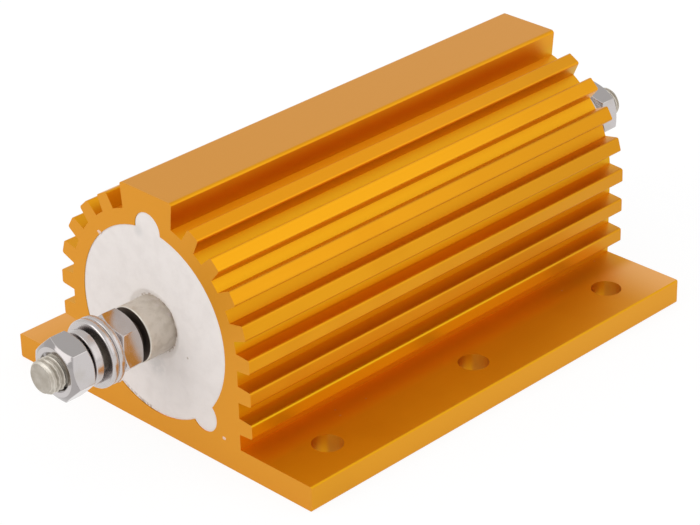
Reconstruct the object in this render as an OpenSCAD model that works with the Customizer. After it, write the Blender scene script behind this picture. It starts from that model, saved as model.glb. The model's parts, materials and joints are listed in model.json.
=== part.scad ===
// Aluminium housed power resistor, large stud-terminal size.
// A finned extrusion with mounting flanges holds a wound ceramic core in cement.
// X runs along the extrusion, Z is up, and z = 0 is the mounting face.
// The left end is at -X, the right end at +X.

/* [Housing] */
// Length of the extrusion between its sawn ends
body_len = 92; // [82:1:140]
// Width over the two mounting flanges
base_w = 72; // [70:0.5:90]
// Thickness of the mounting flanges
base_t = 4.6; // [3.5:0.1:6]
// Radius on the flanges' long edges
flange_edge_r = 0.35; // [0.2:0.05:1.2]
// Diameter of the bore that holds the element
bore_d = 34.2; // [30:0.2:36]
// Metal between the bore and the mounting face
bore_floor = 3.4; // [2.5:0.1:6]
// Wall between the bore and the bottoms of the fin grooves
wall_t = 2.75; // [2:0.05:4]
// Diameter of the half-round key grooves in the bore
key_d = 6; // [4:0.2:6.4]
// Angle of the two lower key grooves below horizontal
key_low_deg = 48.2; // [36:0.2:52]

/* [Fins] */
// Height of a fin above the groove bottoms
fin_h = 2.9; // [2:0.1:4.5]
// Thickness of a fin at its tip
fin_tip_t = 2.6; // [1.8:0.05:3]
// Thickness of a fin at its root
fin_root_t = 3.05; // [2.4:0.05:3.6]
// Angle between neighbouring radial fins
fin_step_deg = 15; // [13:0.5:16]
// Angle of the lowest radial fin from the vertical
fin_low_deg = 88.8; // [86:0.2:90]
// Number of radial fins on each side
radial_fins = 5; // [3:1:5]
// Number of horizontal fins on each straight side
side_fins = 2; // [1:1:3]
// Radius on the corners of the fin tips
fin_corner_r = 0.35; // [0.1:0.05:0.5]

/* [Top rail] */
// Width of the flat top rail
rail_w = 12.35; // [9:0.05:14]
// Width of the rail's neck where it leaves the body
rail_neck_w = 11.5; // [8:0.05:13]
// Height of the rail's flat above the groove bottoms
rail_h = 3.95; // [3:0.05:7]
// How far the rail's neck starts below the groove bottoms
rail_sink = 0.65; // [0.2:0.05:1.2]
// Radius on the rail's long edges
rail_edge_r = 0.7; // [0.2:0.05:0.9]

/* [Mounting holes] */
// Diameter of the holes
hole_d = 5.4; // [4.2:0.1:6.4]
// Distance between the outer holes along the body
hole_pitch_x = 70; // [50:1:80]
// Distance between the two rows of holes across the body
hole_pitch_y = 57.2; // [55:0.2:62]

/* [Cement fill] */
// How far the cement stays below each sawn end
cement_recess = 0.15; // [0.05:0.05:1]
// Depth of the dip where the cement meets the terminal boss
dip_depth = 0.7; // [0.2:0.1:1.5]
// Width of that dip around the boss
dip_w = 1.1; // [0.5:0.1:3]

/* [Resistance element] */
// How far the element and its terminals sit below the bore's axis
element_drop = 0.2; // [0:0.05:0.6]
// Length of the ceramic core
core_len = 62; // [44:1:66]
// Diameter of the ceramic core
core_d = 18; // [12:0.5:20]
// Wall of the pressed end caps
cap_t = 1; // [0.6:0.1:1.6]
// How far an end cap reaches over the core
cap_grip = 5; // [3:0.5:8]
// Diameter of the resistance wire
wire_d = 1; // [0.6:0.1:1.6]
// Distance from turn to turn of the wire
wire_pitch = 2.2; // [2:0.1:4]
// Thickness of the coat that bonds the turns to the core
coat_t = 0.3; // [0.2:0.05:0.5]

/* [Terminals] */
// Diameter of the plain boss that comes out of the cement
boss_d = 10; // [8.5:0.1:12]
// Length of the boss outside the sawn end
boss_out = 4.9; // [3:0.1:10]
// Chamfer on the boss's outer rim
boss_chamfer = 0.3; // [0.1:0.1:0.8]
// Nominal diameter of the terminal thread
stud_d = 6; // [5:0.5:6.5]
// Pitch of the terminal thread
thread_pitch = 1; // [0.5:0.25:1.25]
// Length of thread beyond the left outer nut
stud_beyond = 2.65; // [1:0.05:8]
// Chamfer at the tip of the stud
stud_chamfer = 0.5; // [0.2:0.1:1]
// Thread left bare between the boss and the inner nut
boss_gap = 1.1; // [0.3:0.05:4]

/* [Nuts and washers] */
// Width of a nut across its flats
nut_af = 9.8; // [9:0.1:13]
// Height of a nut
nut_h = 4.8; // [3:0.1:6]
// Angle of the chamfers on a nut's corners
nut_chamfer_deg = 35; // [20:1:40]
// Share of a nut's flats that its round end face covers
nut_face_share = 0.88; // [0.84:0.01:0.98]
// How far the countersinks of a nut reach out past the thread
nut_sink = 0.45; // [0.2:0.05:0.8]
// Outer diameter of the flat washers
washer_d = 11.8; // [10:0.1:14]
// Thickness of a flat washer
washer_t = 1.35; // [0.6:0.05:2]
// Radial clearance of the washers on the stud
washer_play = 0.2; // [0.1:0.05:0.5]
// Square section of the split spring washer's wire
spring_t = 1.6; // [1:0.1:2]
// Axial offset of the left spring washer's ends, which is not squeezed
left_spring_rise = 1.05; // [0.6:0.05:2.4]
// Axial offset of the right spring washer's ends, which is squeezed a little
right_spring_rise = 0.5; // [0.2:0.05:1]
// Gap between the spring washer's two ends
spring_split = 0.9; // [0.4:0.1:2]

/* [Hidden] */
$fn = 96;

anodised = [0.85, 0.58, 0.15];
cement = [0.90, 0.87, 0.84];
steatite = [0.93, 0.91, 0.86];
wire_coat = [0.45, 0.47, 0.42];
tinned = [0.74, 0.70, 0.64];
nickel = [0.78, 0.77, 0.76];

over = 1;                                  // overshoot of every cutting tool
bore_r = bore_d / 2;
axis_z = bore_floor + bore_r;              // height of the bore's axis
element_z = axis_z - element_drop;         // height of the element and both terminals
root_r = bore_r + wall_t;                  // radius of the groove bottoms
tip_r = root_r + fin_h;                    // radius over the fin tips
fin_low_z = axis_z + tip_r * cos(fin_low_deg);
side_pitch = (fin_low_z + fin_root_t / 2 - base_t) / (side_fins + 1);
rail_top_z = axis_z + root_r + rail_h;
key_angles = [90, -key_low_deg, 180 + key_low_deg];

end_x = body_len / 2;                      // plane of the right sawn end
cap_face_x = core_len / 2 + cap_t;         // outer face of the right end cap
cap_r = core_d / 2 + cap_t;
winding_len = core_len - 2 * cap_grip;
turns = floor((winding_len - wire_d) / wire_pitch);

// Places along a terminal, outwards from the sawn end
inner_nut_x = boss_out + boss_gap;
inner_washer_x = inner_nut_x + nut_h;
outer_washer_x = inner_washer_x + washer_t;
spring_x = outer_washer_x + washer_t;
left_outer_nut_x = spring_x + spring_t + left_spring_rise;
right_outer_nut_x = spring_x + spring_t + right_spring_rise;
stud_tip_x = left_outer_nut_x + nut_h + stud_beyond;

// Bare thread is a cylinder over its crests. Inside a nut, stud and nut meet
// at the pitch radius, where the flanks of a 60 degree thread are level.
crest_r = stud_d / 2;
pitch_r = crest_r - 3 / 8 * thread_pitch * cos(30);

// Angle at which each fastener stopped turning
left_inner_turn = 9.4;
left_outer_turn = 14.1;
right_inner_turn = 20;
right_outer_turn = 52;
left_split_turn = 40;
right_split_turn = 115;
spring_segments = 60;

// ---- shared shapes ----

// Stands a profile drawn in (y, z) up along X, centred on the body
module along_body(length) {
    rotate([90, 0, 90]) linear_extrude(length, center = true) children();
}

// Takes the square corner away from a quarter round of radius r.
// The corner is at the origin and the metal lies in the first quadrant.
module corner_cut(r) {
    difference() {
        translate([-over, -over]) square(r + over);
        translate([r, r]) circle(r);
    }
}

// Moves a piece drawn outwards along +X onto one end: 1 is right, -1 is left
module at_end(side) {
    rotate([0, 0, side > 0 ? 0 : 180]) translate([end_x, 0, element_z]) children();
}

// Turns a revolved profile so that its axis is X
module about_x() {
    rotate([0, 90, 0]) children();
}

// ---- housing ----

module fin(length, base) {
    half_root = fin_root_t / 2;
    half_tip = fin_tip_t / 2;
    difference() {
        polygon([[base, -half_root], [length - fin_h, -half_root], [length, -half_tip],
                 [length, half_tip], [length - fin_h, half_root], [base, half_root]]);
        for (s = [-1, 1])
            translate([length, s * half_tip]) mirror([1, 0]) mirror([0, s > 0 ? 1 : 0])
                corner_cut(fin_corner_r);
    }
}

module radial_fins() {
    for (i = [0 : radial_fins - 1]) {
        angle = fin_low_deg - i * fin_step_deg;
        translate([0, axis_z]) rotate(90 - angle) fin(tip_r, bore_r + wall_t / 2);
    }
}

module side_fins() {
    for (i = [1 : side_fins])
        translate([0, base_t + i * side_pitch - fin_root_t / 2]) fin(tip_r, bore_r + wall_t / 2);
}

module rail() {
    half_top = rail_w / 2;
    half_neck = rail_neck_w / 2;
    neck_z = axis_z + root_r - rail_sink;
    difference() {
        polygon([[-half_neck, axis_z + bore_r], [half_neck, axis_z + bore_r],
                 [half_neck, neck_z], [half_top, rail_top_z],
                 [-half_top, rail_top_z], [-half_neck, neck_z]]);
        for (s = [-1, 1])
            translate([s * half_top, rail_top_z]) mirror([0, 1]) mirror([s > 0 ? 1 : 0, 0])
                corner_cut(rail_edge_r);
    }
}

module base_profile() {
    difference() {
        translate([-base_w / 2, 0]) square([base_w, base_t]);
        for (s = [-1, 1]) {
            translate([s * base_w / 2, 0]) mirror([s > 0 ? 1 : 0, 0]) corner_cut(flange_edge_r);
            translate([s * base_w / 2, base_t]) mirror([0, 1]) mirror([s > 0 ? 1 : 0, 0])
                corner_cut(flange_edge_r);
        }
    }
}

module bore_profile() {
    translate([0, axis_z]) {
        circle(bore_r);
        for (angle = key_angles) rotate(angle) translate([bore_r, 0]) circle(d = key_d);
    }
}

module housing_profile() {
    difference() {
        union() {
            translate([0, axis_z]) circle(root_r);
            translate([-root_r, base_t / 2]) square([2 * root_r, axis_z - base_t / 2]);
            for (s = [0, 1]) mirror([s, 0]) {
                radial_fins();
                side_fins();
            }
            rail();
            base_profile();
        }
        bore_profile();
    }
}

module mounting_holes() {
    for (x = [-1 : 1], y = [-1, 1])
        translate([x * hole_pitch_x / 2, y * hole_pitch_y / 2, -over])
            cylinder(d = hole_d, h = base_t + 2 * over);
}

module housing() {
    color(anodised) difference() {
        along_body(body_len) housing_profile();
        mounting_holes();
    }
}

// ---- potting and element ----

// The space that the element takes up inside the cement, revolved about X
module element_space() {
    translate([0, 0, element_z]) about_x() {
        cylinder(r = core_d / 2 + wire_d, h = winding_len, center = true);
        cylinder(r = cap_r, h = 2 * cap_face_x, center = true);
        cylinder(d = boss_d, h = body_len + 2 * over, center = true);
    }
}

// The cement is drawn down a little where it wets the boss
module boss_dip() {
    at_end(1) about_x() rotate_extrude()
        polygon([[0, -cement_recess - dip_depth], [boss_d / 2, -cement_recess - dip_depth],
                 [boss_d / 2 + dip_w, -cement_recess], [boss_d / 2 + dip_w, over], [0, over]]);
}

module cement_fill() {
    color(cement) difference() {
        along_body(body_len - 2 * cement_recess) bore_profile();
        element_space();
        for (s = [0, 1]) mirror([s, 0, 0]) boss_dip();
    }
}

module ceramic_core() {
    color(steatite) translate([0, 0, element_z]) about_x()
        cylinder(d = core_d, h = core_len, center = true);
}

// Each turn of wire stands out of the coat that bonds it to the core
module resistance_winding() {
    core_r = core_d / 2;
    color(wire_coat) translate([0, 0, element_z]) about_x() rotate_extrude() {
        translate([core_r, -winding_len / 2]) square([coat_t, winding_len]);
        for (i = [0 : turns - 1])
            translate([core_r + wire_d / 2, (i - (turns - 1) / 2) * wire_pitch])
                circle(d = wire_d, $fn = 24);
    }
}

module end_cap(side) {
    color(nickel) translate([0, 0, element_z]) rotate([0, 0, side > 0 ? 0 : 180]) about_x()
        difference() {
            translate([0, 0, core_len / 2 - cap_grip]) cylinder(r = cap_r, h = cap_grip + cap_t);
            translate([0, 0, core_len / 2 - cap_grip - over])
                cylinder(d = core_d, h = cap_grip + over);
        }
}

// ---- terminals ----

module terminal_stud(side, outer_nut_x) {
    boss_r = boss_d / 2;
    color(tinned) at_end(side) about_x() rotate_extrude()
        polygon([[0, cap_face_x - end_x], [boss_r, cap_face_x - end_x],
                 [boss_r, boss_out - boss_chamfer], [boss_r - boss_chamfer, boss_out],
                 [crest_r, boss_out], [crest_r, inner_nut_x],
                 [pitch_r, inner_nut_x], [pitch_r, inner_nut_x + nut_h],
                 [crest_r, inner_nut_x + nut_h], [crest_r, outer_nut_x],
                 [pitch_r, outer_nut_x], [pitch_r, outer_nut_x + nut_h],
                 [crest_r, outer_nut_x + nut_h], [crest_r, stud_tip_x - stud_chamfer],
                 [crest_r - stud_chamfer, stud_tip_x], [0, stud_tip_x]]);
}

// Hexagon with both faces chamfered to a circle, bored and countersunk
module hex_nut(x, side, turn) {
    flat_r = nut_af / 2;
    corner_r = flat_r / cos(30);
    face_r = nut_face_share * flat_r;
    drop = (corner_r - face_r) * tan(nut_chamfer_deg);
    mouth_r = crest_r + nut_sink;
    sink_depth = mouth_r - pitch_r;
    color(nickel) at_end(side) translate([x, 0, 0]) about_x() rotate(turn) difference() {
        intersection() {
            cylinder(r = corner_r, h = nut_h, $fn = 6);
            rotate_extrude()
                polygon([[0, 0], [face_r, 0], [corner_r, drop], [corner_r, nut_h - drop],
                         [face_r, nut_h], [0, nut_h]]);
        }
        translate([0, 0, -over]) cylinder(r = pitch_r, h = nut_h + 2 * over);
        translate([0, 0, nut_h - sink_depth]) cylinder(r1 = pitch_r, r2 = mouth_r, h = sink_depth);
        cylinder(r1 = mouth_r, r2 = pitch_r, h = sink_depth);
    }
}

module flat_washer(x, side) {
    color(nickel) at_end(side) translate([x, 0, 0]) about_x() difference() {
        cylinder(d = washer_d, h = washer_t);
        translate([0, 0, -over]) cylinder(r = crest_r + washer_play, h = washer_t + 2 * over);
    }
}

// One left-handed turn of square wire whose ends are set apart along the axis
module spring_washer(side, rise, turn) {
    inner = crest_r + washer_play;
    outer = inner + spring_t;
    sweep = 360 - spring_split / ((inner + outer) / 2) * 180 / PI;
    section = [[inner, 0], [outer, 0], [outer, spring_t], [inner, spring_t]];
    points = [for (i = [0 : spring_segments], p = section)
        let (share = i / spring_segments, angle = -sweep * share)
        [p[0] * cos(angle), p[0] * sin(angle), p[1] + rise * share]];
    last = 4 * spring_segments;
    walls = [for (i = [0 : spring_segments - 1], k = [0 : 3])
        let (a = 4 * i + k, b = 4 * i + (k + 1) % 4) [a, a + 4, b + 4, b]];
    color(nickel) at_end(side) translate([spring_x, 0, 0]) about_x() rotate(turn)
        polyhedron(points, concat([[0, 1, 2, 3]], walls, [[last + 3, last + 2, last + 1, last]]));
}

housing();
cement_fill();
ceramic_core();
resistance_winding();
end_cap(-1);  // left_end_cap
end_cap(1);  // right_end_cap
terminal_stud(-1, left_outer_nut_x);  // left_terminal_stud
terminal_stud(1, right_outer_nut_x);  // right_terminal_stud
hex_nut(inner_nut_x, -1, left_inner_turn);  // left_inner_nut
hex_nut(inner_nut_x, 1, right_inner_turn);  // right_inner_nut
flat_washer(inner_washer_x, -1);  // left_inner_washer
flat_washer(inner_washer_x, 1);  // right_inner_washer
flat_washer(outer_washer_x, -1);  // left_outer_washer
flat_washer(outer_washer_x, 1);  // right_outer_washer
spring_washer(-1, left_spring_rise, left_split_turn);  // left_spring_washer
spring_washer(1, right_spring_rise, right_split_turn);  // right_spring_washer
hex_nut(left_outer_nut_x, -1, left_outer_turn);  // left_outer_nut
hex_nut(right_outer_nut_x, 1, right_outer_turn);  // right_outer_nut
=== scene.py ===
# Looks for the aluminium housed power resistor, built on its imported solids.
import json
import math

import bpy
from mathutils import Matrix, Vector, noise


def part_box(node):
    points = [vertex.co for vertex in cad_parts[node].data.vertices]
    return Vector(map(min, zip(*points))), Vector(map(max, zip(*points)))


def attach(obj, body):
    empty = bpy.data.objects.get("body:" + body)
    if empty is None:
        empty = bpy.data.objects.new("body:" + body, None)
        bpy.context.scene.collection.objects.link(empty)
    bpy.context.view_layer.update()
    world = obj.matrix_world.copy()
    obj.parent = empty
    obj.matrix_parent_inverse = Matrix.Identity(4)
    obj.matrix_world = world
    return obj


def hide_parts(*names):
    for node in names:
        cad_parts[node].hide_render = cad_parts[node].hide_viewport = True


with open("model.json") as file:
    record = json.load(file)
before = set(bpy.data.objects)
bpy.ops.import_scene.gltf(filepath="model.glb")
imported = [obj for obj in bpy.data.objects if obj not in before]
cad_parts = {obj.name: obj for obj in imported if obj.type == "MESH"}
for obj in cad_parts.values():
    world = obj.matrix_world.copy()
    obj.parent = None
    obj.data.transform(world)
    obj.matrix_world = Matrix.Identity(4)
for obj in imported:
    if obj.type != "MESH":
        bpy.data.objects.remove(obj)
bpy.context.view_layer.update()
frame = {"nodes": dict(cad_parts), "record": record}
nodes = frame["nodes"]
mm = 0.001

# sizes and places in millimetres
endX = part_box("housing")[1].x / mm
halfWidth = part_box("housing")[1].y / mm
flangeTop = 4.6
axisZ = (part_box("left_terminal_stud")[0].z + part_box("left_terminal_stud")[1].z) / 2 / mm
bossRadius = 5.0
boreRadius = 17.1
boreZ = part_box("cement_fill")[0].z / mm + boreRadius
washersFrom = -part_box("left_inner_washer")[1].x / mm - endX  # counted out from the sawn end
washersTo = -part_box("left_outer_nut")[1].x / mm - endX
print("solids loaded")


class Wire:  # an output that sums can be written on
    def __init__(self, paint, socket):
        self.paint, self.socket = paint, socket

    def maths(self, operation, *values):
        return self.paint.add("ShaderNodeMath", {"operation": operation}, dict(enumerate(values)))

    def __add__(self, other):
        return self.maths("ADD", self, other)

    def __radd__(self, other):
        return self.maths("ADD", other, self)

    def __sub__(self, other):
        return self.maths("SUBTRACT", self, other)

    def __rsub__(self, other):
        return self.maths("SUBTRACT", other, self)

    def __mul__(self, other):
        return self.maths("MULTIPLY", self, other)

    def __rmul__(self, other):
        return self.maths("MULTIPLY", other, self)

    def __truediv__(self, other):
        return self.maths("DIVIDE", self, other)

    def __rtruediv__(self, other):
        return self.maths("DIVIDE", other, self)

    def __pow__(self, other):
        return self.maths("POWER", self, other)

    def __abs__(self):
        return self.maths("ABSOLUTE", self)

    def larger(self, other):
        return self.maths("MAXIMUM", self, other)

    def twin(self, name):  # another output of the same node
        return Wire(self.paint, self.socket.node.outputs[name])

    def rise(self, low, high):  # 0 below low, 1 above high, eased between
        return self.paint.add("ShaderNodeMapRange", {"interpolation_type": "SMOOTHSTEP"},
                              {"Value": self, "From Min": low, "From Max": high})

    def fall(self, low, high):
        return 1 - self.rise(low, high)

    def between(self, low, high, ease):  # 1 inside, eased to 0 at both ends
        return self.rise(low, low + ease) * self.fall(high - ease, high)


class Paint:  # one material and its nodes
    def __init__(self, name):
        self.material = bpy.data.materials.new(name)
        self.material.use_nodes = True
        self.tree = self.material.node_tree
        self.tree.nodes.clear()
        place = self.add("ShaderNodeTexCoord", {}, {})
        self.place = self.stretch(place.twin("Object"), (1 / mm,) * 3)  # millimetres
        self.facing = place.twin("Normal")

    def add(self, kind, settings, inputs, output=0):
        made = self.tree.nodes.new(kind)
        for key, value in settings.items():
            setattr(made, key, value)
        for key, value in inputs.items():
            if isinstance(value, Wire):
                self.tree.links.new(value.socket, made.inputs[key])
            else:
                made.inputs[key].default_value = value
        return Wire(self, made.outputs[output]) if made.outputs else None

    def stretch(self, vector, factors):
        return self.add("ShaderNodeVectorMath", {"operation": "MULTIPLY"}, {0: vector, 1: factors})

    def offset(self, vector, step):
        return self.add("ShaderNodeVectorMath", {"operation": "ADD"}, {0: vector, 1: step})

    def length(self, vector):
        return self.add("ShaderNodeVectorMath", {"operation": "LENGTH"}, {0: vector}, "Value")

    def parts(self, vector):
        split = self.add("ShaderNodeSeparateXYZ", {}, {0: vector})
        return split, split.twin("Y"), split.twin("Z")

    def grain(self, vector, scale, detail=2.0, roughness=0.5):
        return self.add("ShaderNodeTexNoise", {},
                        {"Vector": vector, "Scale": scale, "Detail": detail, "Roughness": roughness})

    def motes(self, vector, scale, radius, share):  # round spots, radius in vector units
        cells = self.add("ShaderNodeTexVoronoi", {}, {"Vector": vector, "Scale": scale}, "Distance")
        chance = self.parts(cells.twin("Color"))[0]
        return cells.fall(radius * scale * 0.7, radius * scale) * chance.rise(1 - share, 1.005 - share)

    def spot(self, centre, radius):  # 1 at a place in millimetres, easing to 0 at the radius
        away = self.offset(self.place, [-value for value in centre])
        return self.length(away).fall(radius * 0.2, radius)

    def blend(self, factor, first, second):
        return self.add("ShaderNodeMix", {"data_type": "RGBA"}, {0: factor, 6: first, 7: second}, 2)

    def bump(self, height, depth, strength=1.0):
        return self.add("ShaderNodeBump", {},
                        {"Height": height, "Distance": depth * mm, "Strength": strength})

    def show(self, shader):
        self.add("ShaderNodeOutputMaterial", {}, {"Surface": shader})

    def finish(self, inputs):
        self.show(self.add("ShaderNodeBsdfPrincipled", {}, inputs))
        return self.material


# Colours are linear, with alpha. Noise scales are features per millimetre.

anodised = {
    "gold": (0.80, 0.350, 0.006, 1),
    "deepGold": (0.74, 0.30, 0.003, 1),
    # painted light and shade in the fin grooves: a lit colour for faces that look up, a shaded one for
    # side faces
    "litGrooveGold": (0.81, 0.365, 0.005, 1),
    "shadedSideGold": (0.72, 0.365, 0.003, 1),
    # painted shading on the flange's side faces
    "edgeShadingGold": (0.77, 0.335, 0.009, 1),
    # painted sheen, pale, on the flange toward the far end and on the hidden side
    "farSheenGold": (0.90, 0.47, 0.14, 1),
    # painted sheen on the top rail's flat top
    "topSheenGold": (0.73, 0.315, 0.030, 1),
    "sawnGold": (0.73, 0.31, 0.010, 1),
    # painted shade on the near fin tips toward the far end
    "farTipShadeGold": (0.68, 0.285, 0.004, 1),
    # painted reflection of the fins' foot on the flange
    "footReflectionGold": (0.93, 0.34, 0.003, 1),
    "dust": (0.86, 0.50, 0.24, 1),
    "roughness": 0.36,
    "flangeRoughness": 0.50,
    "sawnRoughness": 0.58,
    "coat": 0.08,
    "shadingBands": (  # painted light and shade on single fins, bands along the housing: y, z, radius, where each fades out, colour
        (-11.0, 40.4, 2.2, (0, 50), (0.86, 0.345, 0.005, 1)),
        (-11.4, 38.3, 1.3, (50, 60), (0.67, 0.35, 0.003, 1)),
        (-15.4, 37.2, 2.4, (0, 50), (0.89, 0.40, 0.006, 1)),
        (-18.2, 28.4, 1.3, (50, 60), (0.71, 0.30, 0.003, 1)),
        (-21.3, 22.4, 1.2, (0, 50), (0.93, 0.42, 0.004, 1)),
        (-22.7, 9.3, 2.4, (0, 50), (0.80, 0.41, 0.003, 1))),
    "grooves": (19.9, 22.4),  # distance from the bore's axis, floor to fin tips
    "finHeights": (6, 8, 33.5, 35),  # z of the fins that are painted darker toward the far end
    "finShadeRamp": (-30, 40),  # x, where the fin tips' painted shade comes in
    "finFoot": (-27, -23.5),  # y, flange to the foot of the fins
    "footEnd": (20, 38),  # x, where the painted reflection of the fins' foot ends
    "sheenEnd": (33, 46),  # x, where the flange pales under a painted sheen
    "sheenSide": (22, 36),  # y, where the hidden flange pales under a painted sheen
    "railTop": (30, 36),  # z, where the painted sheen lies on the rail's top
    "drawnLines": (0.03, 7, 7),
    "fineLines": (0.15, 22, 22),
    "specks": ((-20.84, -23.46), (-26.86, -22.26), (-27.53, -24.09), (41.43, -20.51),
               (29.09, -23.36)),  # lint on the flange, x and y
    "speckSize": 0.28,
}


def anodisedGold():
    paint = Paint("anodised_gold")
    normalX, normalY, normalZ = paint.parts(paint.facing)
    x, y, z = paint.parts(paint.place)
    sawn = abs(normalX).rise(0.6, 0.8)
    upward = normalZ.rise(0.9, 0.99)
    near = y.fall(0, 1)
    flange = upward * z.fall(flangeTop + 0.6, flangeTop + 1.9)
    above = (z - boreZ).larger(0)
    reach = (y * y + above * above) ** 0.5
    groove = reach.fall(*anodised["grooves"])
    drawnLines = paint.grain(paint.stretch(paint.place, anodised["drawnLines"]), 1.0, 3)
    fineLines = paint.grain(paint.stretch(paint.place, anodised["fineLines"]), 1.0, 2)
    clouds = paint.grain(paint.place, 0.09, 2)
    speckle = paint.grain(paint.place, 6.0, 3, 0.6)
    dust = paint.motes(paint.place, 0.30, 0.14, 0.06) * paint.grain(paint.place, 9.0).rise(0.4, 0.55)
    for speckX, speckY in anodised["specks"]:
        dust = dust.larger(paint.spot((speckX, speckY, flangeTop), anodised["speckSize"]))
    lines = (drawnLines * 0.6 + fineLines * 0.4) * (1 - sawn)
    shade = clouds.rise(0.35, 0.7) * 0.5 + lines * 0.35
    body = paint.blend(shade, anodised["gold"], anodised["deepGold"])
    # painted light and shade in the grooves, chosen by which way each face looks
    grooveShading = paint.blend(normalZ.fall(0.3, 0.75), anodised["litGrooveGold"], anodised["shadedSideGold"])
    body = paint.blend(groove, body, grooveShading)
    # painted shading on the flange's side faces, just below its top
    edge = z.fall(flangeTop - 0.1, flangeTop + 0.2) * abs(normalY).rise(0.9, 0.99)
    body = paint.blend(edge, body, anodised["edgeShadingGold"])
    # painted shade: the flange's rounded top edge is darkened halfway toward the shaded side colour,
    # dimming its highlight
    arris = z.fall(flangeTop + 0.1, flangeTop + 0.4) * normalZ.rise(0.2, 0.4) \
        * normalZ.fall(0.9, 0.99)
    body = paint.blend(arris * 0.5, body, anodised["shadedSideGold"])
    # painted sheen on the top rail's upward faces, outside the grooves
    body = paint.blend(upward * z.rise(*anodised["railTop"]) * (1 - groove), body,
                       anodised["topSheenGold"])
    # painted sheen on the flange's top, by place
    sheen = (x.rise(*anodised["sheenEnd"]) * y.fall(*anodised["finFoot"])).larger(
        y.rise(*anodised["sheenSide"]) * 0.7)
    body = paint.blend(flange * sheen, body, anodised["farSheenGold"])
    # painted reflection of the fins' foot on the flange's top, near side
    footReflection = flange * y.rise(*anodised["finFoot"]) * near * x.fall(*anodised["footEnd"])
    body = paint.blend(footReflection, body, anodised["footReflectionGold"])
    # painted shade: the near fin tips darken toward the far end
    lowest, lower, upper, highest = anodised["finHeights"]
    tips = (1 - groove) * z.rise(lowest, lower) * z.fall(upper, highest) * near
    body = paint.blend(tips * x.rise(*anodised["finShadeRamp"]), body, anodised["farTipShadeGold"])
    # painted light and shade: each band lightens or darkens a strip along one fin
    for bandY, bandZ, radius, fade, bandShading in anodised["shadingBands"]:
        away = ((y - bandY) ** 2 + (z - bandZ) ** 2) ** 0.5
        body = paint.blend(away.fall(0.8 * radius, radius) * x.fall(*fade), body, bandShading)
    body = paint.blend(sawn * (0.85 + 0.3 * speckle), body, anodised["sawnGold"])
    colour = paint.blend(dust * 0.6, body, anodised["dust"])
    rough = anodised["roughness"] + 0.07 * lines + 0.05 * (speckle - 0.5) + 0.2 * dust \
        + flange * (anodised["flangeRoughness"] - anodised["roughness"]) \
        + sawn * (anodised["sawnRoughness"] - anodised["roughness"])
    relief = paint.bump(lines * 0.5 + speckle * (0.25 + 0.75 * sawn) + dust, 0.004)
    return paint.finish({
        "Base Color": colour, "Roughness": rough, "Metallic": 1 - 0.25 * sawn, "Normal": relief,
        "Coat Weight": anodised["coat"], "Coat Roughness": 0.35, "Coat IOR": 1.6})


cement = {
    "white": (0.80, 0.745, 0.715, 1),
    "shade": (0.71, 0.655, 0.625, 1),
    "grit": (0.34, 0.25, 0.17, 1),
    # grey for a smudge and for painted shade in the upper key
    "markAndShadeGrey": (0.50, 0.49, 0.48, 1),
    "tinted": (0.78, 0.52, 0.38, 1),  # where it smears on the sawn gold
    "rimWidths": (0.9, 0.2),
    "dirtyCorner": ((-1, 2), (-16.5, -13)),  # y and z from the bore's axis
    "contact": (0.1, 0.45),  # dark ring outside the boss
    "greyMarkAndKeyShadeSpots": (((-0.1, 13.1), 3.2), ((2.3, 36.6), 1.6)),  # a grey smudge, then painted shade in the upper key: y and z, radius
    "pit": ((-8.0, 17.0), 0.34),
}


def pottingCement():
    paint = Paint("potting_cement")
    mottle = paint.grain(paint.place, 0.35, 4, 0.6)
    sand = paint.grain(paint.place, 3.2, 3, 0.65)
    x, y, z = paint.parts(paint.offset(paint.place, (0, 0, -boreZ)))
    fromAxis = (y * y + z * z) ** 0.5
    rim = fromAxis.rise(*(boreRadius - width for width in cement["rimWidths"]))
    fromBoss = (y * y + (z + boreZ - axisZ) ** 2) ** 0.5 - bossRadius
    cornerY, cornerZ = cement["dirtyCorner"]
    low = z.fall(*cornerZ) * y.rise(*cornerY)
    body = paint.blend(mottle.rise(0.35, 0.75) * 0.5 + sand.rise(0.55, 0.8) * 0.2,
                       cement["white"], cement["shade"])
    contact = fromBoss.fall(*cement["contact"]) \
        * paint.grain(paint.place, 1.1, 3, 0.7).rise(0.48, 0.58)
    dirt = rim * low * paint.grain(paint.place, 1.9, 3, 0.7).rise(0.44, 0.56)
    # the second spot is painted shade on the left of the upper key
    lowMark, keyShade = (paint.spot((-endX, *spot), size) for spot, size in cement["greyMarkAndKeyShadeSpots"])
    greyMarkAndKeyShade = (lowMark * paint.grain(paint.place, 0.8, 3).rise(0.3, 0.6)).larger(keyShade)
    stray = (abs(x) - endX).rise(-0.04, -0.02)
    pitPlace, pitSize = cement["pit"]
    pits = paint.motes(paint.place, 0.30, 0.17, 0.06).larger(
        paint.spot((-endX, *pitPlace), pitSize) * 2)
    worn = paint.blend(greyMarkAndKeyShade * 0.35, body, cement["markAndShadeGrey"])
    worn = paint.blend(dirt * 0.8 + contact * 0.7 + pits * 0.35, worn, cement["grit"])
    worn = paint.blend(stray * 0.8, worn, cement["tinted"])
    relief = paint.bump(mottle * 0.6 + sand * 0.4 - pits - contact * 0.5, 0.05, 0.6)
    return paint.finish({
        "Base Color": worn, "Roughness": 0.9 - 0.1 * sand, "Normal": relief,
        "Specular IOR Level": 0.25})


tinned = {
    "bright": (0.70, 0.655, 0.585, 1),
    "dull": (0.50, 0.45, 0.375, 1),
    # painted shade in the gap between the boss and the inner nut
    "gapShade": (0.105, 0.078, 0.062, 1),
    "roughness": 0.42,
    "gapShadeFrom": (4.82, 4.88),  # out from the sawn end, boss face to the inner nut, where the gap's painted shade lies
    "gapShadeTo": (6.2, 6.5),
    "threadFrom": (6, 7),
    "splash": (0.2, 1.3),
}


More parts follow.
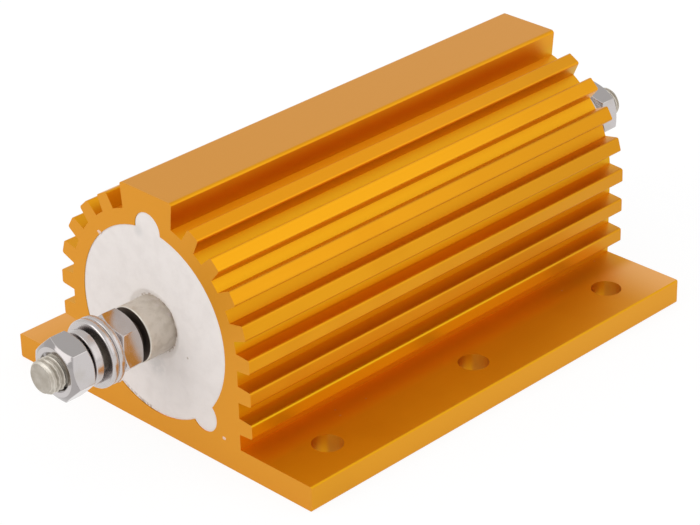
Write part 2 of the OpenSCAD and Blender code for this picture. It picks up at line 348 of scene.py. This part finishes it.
def dullTin():
    paint = Paint("dull_tin")
    turned = paint.grain(paint.stretch(paint.place, (6, 0.3, 0.3)), 1.0, 3, 0.6)
    clouds = paint.grain(paint.place, 0.6, 3, 0.55)
    scuffs = paint.grain(paint.place, 2.2, 3, 0.6)
    shade = clouds.rise(0.38, 0.7) * 0.45 + scuffs.rise(0.5, 0.8) * 0.25
    out = abs(paint.parts(paint.place)[0]) - endX
    ends = abs(paint.parts(paint.facing)[0]).rise(0.8, 0.95)
    thread = out.rise(*tinned["threadFrom"])
    # painted shade between the boss face and the inner nut
    gap = out.rise(*tinned["gapShadeFrom"]) * out.fall(*tinned["gapShadeTo"])
    splash = out.fall(*tinned["splash"]) \
        * paint.grain(paint.place, 1.1, 3, 0.6).rise(0.54, 0.60)
    colour = paint.blend(shade, tinned["bright"], tinned["dull"])
    colour = paint.blend(splash * 0.8, colour, cement["shade"])
    # the gap's painted shade; faces that look along the stud are pulled a quarter of the way to the
    # same dark colour
    colour = paint.blend(gap.larger(ends * 0.25), colour, tinned["gapShade"])
    rough = tinned["roughness"] + 0.16 * (clouds - 0.4) + 0.10 * thread + 0.2 * ends
    nicks = paint.grain(paint.place, 1.7, 3, 0.65) * thread
    relief = paint.bump(scuffs * 0.2 + turned * 0.1 + nicks, 0.05, 0.6)
    return paint.finish({"Base Color": colour, "Roughness": rough, "Metallic": 1.0,
                         "Normal": relief})


nickel = {
    "bright": (0.58, 0.545, 0.54, 1),
    "warm": (0.52, 0.485, 0.45, 1),
    # painted shade for upward faces, strongest on the outer nut
    "upper": (0.39, 0.365, 0.355, 1),
    # painted shade on the outer nut's chamfer cones
    "chamferShade": (0.36, 0.335, 0.33, 1),
    "roughness": 0.12,
    "washerRoughness": 0.22,
}


def nickelPlate():
    paint = Paint("nickel_plate")
    blush = paint.grain(paint.place, 0.35, 2, 0.5)
    cloudy = paint.grain(paint.place, 1.6, 3, 0.55)
    scratches = paint.grain(paint.stretch(paint.place, (9, 1.0, 1.0)), 1.0, 2, 0.5)
    normalX, _, normalZ = paint.parts(paint.facing)
    along = abs(normalX)
    out = abs(paint.parts(paint.place)[0]) - endX
    washers = out.between(washersFrom, washersTo, 0.05)
    outermost = out.rise(washersTo - 0.05, washersTo)
    # painted shade on faces that look up
    upper = normalZ.rise(0.78, 0.94) * along.fall(0.2, 0.5)
    # painted shade on the outer nut's chamfer cones, dimming their highlight
    cone = along.rise(0.6, 0.75) * along.fall(0.93, 0.98)
    colour = paint.blend(blush.rise(0.42, 0.75) * 0.6, nickel["bright"], nickel["warm"])
    colour = paint.blend(upper * (0.3 + 0.6 * outermost), colour, nickel["upper"])
    colour = paint.blend(cone * outermost * 0.9, colour, nickel["chamferShade"])
    rough = nickel["roughness"] + 0.04 * cloudy.rise(0.4, 0.8) + 0.02 * scratches \
        + washers * (nickel["washerRoughness"] - nickel["roughness"])
    relief = paint.bump(cloudy * 0.5 + scratches * 0.2, 0.003, 0.5)
    return paint.finish({"Base Color": colour, "Roughness": rough, "Metallic": 1.0,
                         "Normal": relief})


hiddenTones = {  # two for each finish inside the cement
    "steatite": ((0.84, 0.80, 0.71, 1), (0.72, 0.68, 0.58, 1)),
    "coat": ((0.17, 0.19, 0.14, 1), (0.27, 0.28, 0.22, 1)),
    "steel": ((0.52, 0.51, 0.49, 1), (0.40, 0.39, 0.37, 1)),
}


def coreSteatite():
    paint = Paint("core_steatite")
    pores = paint.grain(paint.place, 2.0, 3, 0.6)
    colour = paint.blend(pores, *hiddenTones["steatite"])
    return paint.finish({"Base Color": colour, "Roughness": 0.7 + 0.2 * pores,
                         "Normal": paint.bump(pores, 0.03)})


def coatedWire():
    paint = Paint("coated_wire")
    drips = paint.grain(paint.stretch(paint.place, (1.5, 0.4, 0.4)), 1.0, 4, 0.6)
    colour = paint.blend(drips, *hiddenTones["coat"])
    return paint.finish({"Base Color": colour, "Roughness": 0.4 + 0.25 * drips, "Metallic": 0.3,
                         "Normal": paint.bump(drips, 0.04)})


def pressedSteel():
    paint = Paint("pressed_steel")
    drawn = paint.grain(paint.stretch(paint.place, (0.3, 5, 5)), 1.0, 3, 0.6)
    colour = paint.blend(drawn, *hiddenTones["steel"])
    return paint.finish({"Base Color": colour, "Roughness": 0.3 + 0.15 * drawn, "Metallic": 1.0,
                         "Normal": paint.bump(drawn, 0.01)})


finishes = {
    "anodised_housing": anodisedGold(),
    "potting_cement": pottingCement(),
    "core_ceramic": coreSteatite(),
    "coated_wire": coatedWire(),
    "pressed_steel": pressedSteel(),
    "tinned_stud": dullTin(),
    "nickel_plate": nickelPlate(),
}
for part in frame["record"]["subparts"]:
    solid = nodes[part["node"]]
    solid.data.materials.clear()
    solid.data.materials.append(finishes[part["material_slot"]])
print("finishes made")


def addPiece(name, points, faces, slotName):
    mesh = bpy.data.meshes.new(name)
    mesh.from_pydata([Vector(point) * mm for point in points], [], faces)
    mesh.polygons.foreach_set("use_smooth", [True] * len(mesh.polygons))
    mesh.materials.append(finishes[slotName])
    mesh.validate()
    piece = bpy.data.objects.new(name, mesh)
    bpy.context.collection.objects.link(piece)
    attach(piece, "root")
    return piece


def onTerminal(side, out, radius, angle):  # out is counted from the sawn end
    x, y, z = endX + out, radius * math.cos(angle), radius * math.sin(angle)
    return (x * side, y * side, z + axisZ)


def ringFaces(rings, around):  # quads between closed rings of points
    return [(r * around + i, (r + 1) * around + i,
             (r + 1) * around + (i + 1) % around, r * around + (i + 1) % around)
            for r in range(rings - 1) for i in range(around)]


def wobble(x, y, z, size):  # smooth unevenness, about -1 to 1
    return noise.noise(Vector((x, y, z)) / size)


# Threaded studs stand for the solids' plain ones.

stud = {
    "crest": 3.0,  # outer radius of the thread
    "depth": 0.60,
    "pitch": 1.0,
    "crestHalf": 0.07,  # half of the crest's flat, in turns
    "flank": 0.30,  # in turns
    "bossFrom": -1.2,
    "bossOut": 4.9,
    "bossRings": 26,
    "bossInner": 3.4,  # where the boss's face meets the thread's relief
    "rimRound": 0.3,
    "rimRings": 4,
    "tipChamfer": 0.5,
    "tipRadii": (2.47, 2.42, 2.1, 1.7, 1.3, 0.9, 0.5, 0.05),
    "tipDent": 0.03,
    "tipDentSize": 0.8,
    "stepsPerTurn": 16,
    "around": 72,
    "dents": 0.03,
    "dentSize": 1.6,
    "wear": 0.22,  # deepest nick in a thread crest
    "wearSize": 0.55,
}


def threadRadius(out, angle):
    turn = (out / stud["pitch"] - angle / (2 * math.pi)) % 1
    fromCrest = min(turn, 1 - turn)
    drop = min(max((fromCrest - stud["crestHalf"]) / stud["flank"], 0), 1)
    crest = stud["crest"]
    worn = wobble(crest * math.cos(angle), crest * math.sin(angle), out, stud["wearSize"])
    return crest - stud["depth"] * drop - stud["wear"] * max(worn, 0) * (1 - drop)


def makeStud(side, name, node):
    lowest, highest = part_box(node)
    tip = (highest.x if side > 0 else -lowest.x) / mm - endX
    inner = (lowest.x if side > 0 else -highest.x) / mm - endX
    around = stud["around"]
    angles = [2 * math.pi * i / around for i in range(around)]
    rings = []

    def ring(out, radiusAt):
        rings.append([onTerminal(side, out, radiusAt(angle), angle) for angle in angles])

    def bossAt(out, cut=0.0):
        def radius(angle):
            dent = wobble(side * out, bossRadius * math.cos(angle),
                          bossRadius * math.sin(angle), stud["dentSize"])
            return bossRadius - cut - stud["dents"] * (0.5 + 0.5 * dent)
        return radius

    def tipAt(radius, angle):  # the cut end, slightly uneven
        dent = wobble(radius * math.cos(angle), radius * math.sin(angle), side * 7,
                      stud["tipDentSize"])
        return onTerminal(side, tip - 0.01 - stud["tipDent"] * abs(dent), radius, angle)

    ring(inner, lambda angle: stud["tipRadii"][-1])
    ring(inner, bossAt(inner))
    bossOut, rimRound = stud["bossOut"], stud["rimRound"]
    for i in range(stud["bossRings"] + 1):
        out = stud["bossFrom"] + (bossOut - rimRound - stud["bossFrom"]) * i / stud["bossRings"]
        ring(out, bossAt(out))
    for i in range(1, stud["rimRings"] + 1):
        turn = math.pi / 2 * i / stud["rimRings"]
        out = bossOut - rimRound * (1 - math.sin(turn))
        ring(out, bossAt(out, rimRound * (1 - math.cos(turn))))
    ring(bossOut, lambda angle: stud["bossInner"])
    count = int((tip - bossOut) / stud["pitch"] * stud["stepsPerTurn"])
    for i in range(count + 1):
        out = bossOut + (tip - bossOut) * i / count
        limit = stud["crest"] - max(out - (tip - stud["tipChamfer"]), 0)
        ring(out, lambda angle: min(threadRadius(out, angle), limit))
    for radius in stud["tipRadii"]:
        rings.append([tipAt(radius, angle) for angle in angles])
    points = [point for one in rings for point in one]
    faces = ringFaces(len(rings), around)
    faces.append(tuple(reversed(range(around))))
    faces.append(tuple(range(len(points) - around, len(points))))
    piece = addPiece(name, points, faces, "tinned_stud")
    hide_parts(node)
    return piece


makeStud(-1, "left_threaded_stud", "left_terminal_stud")
makeStud(1, "right_threaded_stud", "right_terminal_stud")
print("studs threaded")


# The cement's faces and smears lie on the solids.

fill = {
    "keyRadius": 3.0,
    "keyAngles": (90.0, -48.2, 228.2),
    "recess": 0.15,
    "cover": 0.02,  # how far this face lies over the solid's
    "lap": 0.1,  # how far it runs in under the boss
    "dipDepth": 0.7,
    "dipWidth": 1.1,
    "unevenness": 0.05,
    "swell": 3.0,  # sizes of the unevenness
    "crumb": 0.7,
    "ragged": 1.2,
    "wallWidth": 0.35,  # the rim sinks a little toward the bore's wall
    "wallDrop": 0.06,
    "rings": 56,
    "ringSpread": 1.25,  # above 1, closer rings at the boss
    "around": 720,
}


def boreEdge(angle):  # distance of the bore's edge from its axis
    reach = boreRadius
    for key in fill["keyAngles"]:
        turn = math.radians((math.degrees(angle) - key + 180) % 360 - 180)
        squared = fill["keyRadius"] ** 2 - (boreRadius * math.sin(turn)) ** 2
        if abs(turn) < 1 and squared > 0:
            reach = max(reach, boreRadius * math.cos(turn) + math.sqrt(squared))
    return reach


def makeCementFace(side, name):
    points = []
    around, rings = fill["around"], fill["rings"]
    inner = bossRadius - fill["lap"]
    for r in range(rings):
        share = (r / (rings - 1)) ** fill["ringSpread"]
        for i in range(around):
            angle = 2 * math.pi * i / around
            edge = boreEdge(angle)
            reach = inner + (edge - inner) * share
            y = reach * math.cos(angle)
            z = reach * math.sin(angle) - (boreZ - axisZ) * (1 - share)
            lift = fill["unevenness"] * (0.5 + 0.5 * wobble(y, z, side * 9, fill["swell"]))
            lift += 0.4 * fill["unevenness"] * wobble(y, z, side * 5, fill["crumb"])
            ragged = 0.5 + 0.5 * wobble(y, z, side * 3, fill["ragged"])
            nearBoss = max(1 - (reach - bossRadius) / fill["dipWidth"], 0)
            dip = fill["dipDepth"] * min(nearBoss, 1) * (1 - 0.35 * ragged)
            wall = max((reach - edge + fill["wallWidth"]) / fill["wallWidth"], 0)
            out = -fill["recess"] + fill["cover"] + max(lift, 0) - dip \
                - fill["wallDrop"] * wall ** 2
            points.append((side * (endX + out), side * y, boreZ + z))
    faces = ringFaces(rings, around)
    return addPiece(name, points, faces, "potting_cement")


makeCementFace(-1, "left_cement_face")
makeCementFace(1, "right_cement_face")

smears = {  # side, y, z, half width, half height, thickness, seed
    "left_upper_smear": (-1, 12.15, 32.93, 0.50, 0.36, 0.07, 3),
    "left_lower_smear": (-1, -16.01, 5.24, 0.45, 0.36, 0.07, 8),
}


def makeSmear(name, side, y, z, wide, high, thick, seed):
    around, rings = 40, 7
    grooveShading = 0.02  # the rim goes in under the sawn face
    points = []
    for r in range(rings):
        share = r / (rings - 1)
        for i in range(around):
            angle = 2 * math.pi * i / around
            ragged = 1 + 0.45 * wobble(math.cos(angle), math.sin(angle), seed, 0.45)
            dy = wide * share * ragged * math.cos(angle)
            dz = high * share * ragged * math.sin(angle)
            out = thick * (1 - share ** 2) * (1 + 0.4 * wobble(dy, dz, seed, 0.35)) - grooveShading * share
            points.append((side * (endX + max(out, -grooveShading)), y + dy, z + dz))
    faces = ringFaces(rings, around)
    faces.append(tuple(range(around)))
    return addPiece(name, points, faces, "potting_cement")


for name, sizes in smears.items():
    makeSmear(name, *sizes)
print("cement laid")


edges = {  # rounding in millimetres, segments, least angle in degrees
    "nut": (0.13, 3, 18),
    "inner_washer": (0.38, 4, 40),
    "outer_washer": (0.38, 4, 40),
    "spring_washer": (0.22, 3, 40),
}
weldDistance = 0.002
flatAngle = 0.5  # facets that meet at less are one face


def soften(node, width, segments, limit):
    modifiers = nodes[node].modifiers
    weld = modifiers.new("joined faces", "WELD")
    weld.merge_threshold = weldDistance * mm
    merge = modifiers.new("whole facets", "DECIMATE")
    merge.decimate_type = "DISSOLVE"
    merge.angle_limit = math.radians(flatAngle)
    bevel = modifiers.new("soft edges", "BEVEL")
    bevel.width = width * mm
    bevel.segments = segments
    bevel.limit_method = "ANGLE"
    bevel.angle_limit = math.radians(limit)
    bevel.use_clamp_overlap = False
    even = modifiers.new("even shading", "WEIGHTED_NORMAL")
    even.mode = "FACE_AREA"
    even.weight = 100
    for face in nodes[node].data.polygons:
        face.use_smooth = True


for node in nodes:
    for kind, sizes in edges.items():
        if kind in node:
            soften(node, *sizes)
print("edges softened")


camera = {  # degrees and millimetres
    "azimuth": -44.84,
    "elevation": 28.33,
    "roll": -1.29,
    "aim": (-3.251, -2.736, 15.637),
    "distance": 457.9,
    "lens": 136.314,
    "sensor": 36,
}


def placeCamera():
    azimuth, elevation, roll = (math.radians(camera[key])
                                for key in ("azimuth", "elevation", "roll"))
    back = Vector((math.sin(azimuth) * math.cos(elevation),
                   -math.cos(azimuth) * math.cos(elevation), math.sin(elevation)))
    right = Vector((0, 0, 1)).cross(back).normalized()
    up = back.cross(right)
    tiltedRight = right * math.cos(roll) + up * math.sin(roll)
    tiltedUp = up * math.cos(roll) - right * math.sin(roll)
    turn = Matrix((tiltedRight, tiltedUp, back)).transposed()
    data = bpy.data.cameras.new("camera")
    data.lens = camera["lens"]
    data.sensor_width = camera["sensor"]
    data.clip_start, data.clip_end = 0.01, 20
    eye = bpy.data.objects.new("camera", data)
    bpy.context.collection.objects.link(eye)
    eye.matrix_world = Matrix.Translation((Vector(camera["aim"]) + back * camera["distance"]) * mm) \
        @ turn.to_4x4()
    bpy.context.scene.camera = eye


placeCamera()


studio = {
    "room": 0.88,
    "floorHalf": 3.0,  # metres
    "floorDrop": 0.02,
    "floorGrey": (0.85, 0.85, 0.85, 1),
    "floorShare": 0.86,  # how far glow takes the place of grey, for the camera and in mirrors
    "floorGlow": 1.04,
    "underDimming": 0.25,  # of the glow that metal mirrors, under the part
    "lampAim": (0, 0, 0.02),
    "lamps": {  # place and size in metres, watts
        "upper_right_softbox": ((0.60, -1.15, 0.80), 1.3, 2.15),
        "left_softbox": ((-0.95, 0.24, 0.50), 0.80, 2.8),
    },
}


def makeStudio():
    world = bpy.data.worlds.new("room")
    bpy.context.scene.world = world
    world.use_nodes = True
    room = world.node_tree.nodes["Background"]
    room.inputs["Color"].default_value = (1, 1, 1, 1)
    room.inputs["Strength"].default_value = studio["room"]
    for name, (place, size, watts) in studio["lamps"].items():
        data = bpy.data.lights.new(name, "AREA")
        data.size = size
        data.energy = watts
        lamp = bpy.data.objects.new(name, data)
        bpy.context.collection.objects.link(lamp)
        lamp.location = place
        toPart = Vector(studio["lampAim"]) - Vector(place)
        lamp.rotation_euler = toPart.to_track_quat("-Z", "Y").to_euler()


def makeFloor():
    mesh = bpy.data.meshes.new("floor")
    half = studio["floorHalf"]
    mesh.from_pydata([(-half, -half, 0), (half, -half, 0), (half, half, 0), (-half, half, 0)],
                     [], [(0, 1, 2, 3)])
    floor = bpy.data.objects.new("floor", mesh)
    bpy.context.collection.objects.link(floor)
    floor.location.z = -studio["floorDrop"] * mm
    paint = Paint("white_floor")
    rays = paint.add("ShaderNodeLightPath", {}, {})
    x, y, _ = paint.parts(paint.place)
    under = (abs(x) / (endX + 1)).larger(abs(y) / (halfWidth + 1)).fall(1.0, 1.15)
    seen = rays.larger(rays.twin("Is Glossy Ray") * (1 - studio["underDimming"] * under))
    paper = paint.add("ShaderNodeBsdfDiffuse", {}, {"Color": studio["floorGrey"]})
    glow = paint.add("ShaderNodeEmission", {}, {"Strength": studio["floorGlow"]})
    paint.show(paint.add("ShaderNodeMixShader", {},
                         {0: seen * studio["floorShare"], 1: paper, 2: glow}))
    mesh.materials.append(paint.material)


makeStudio()
makeFloor()
bpy.context.scene.view_settings.view_transform = "Standard"
print("studio lit")

bpy.context.view_layer.update()
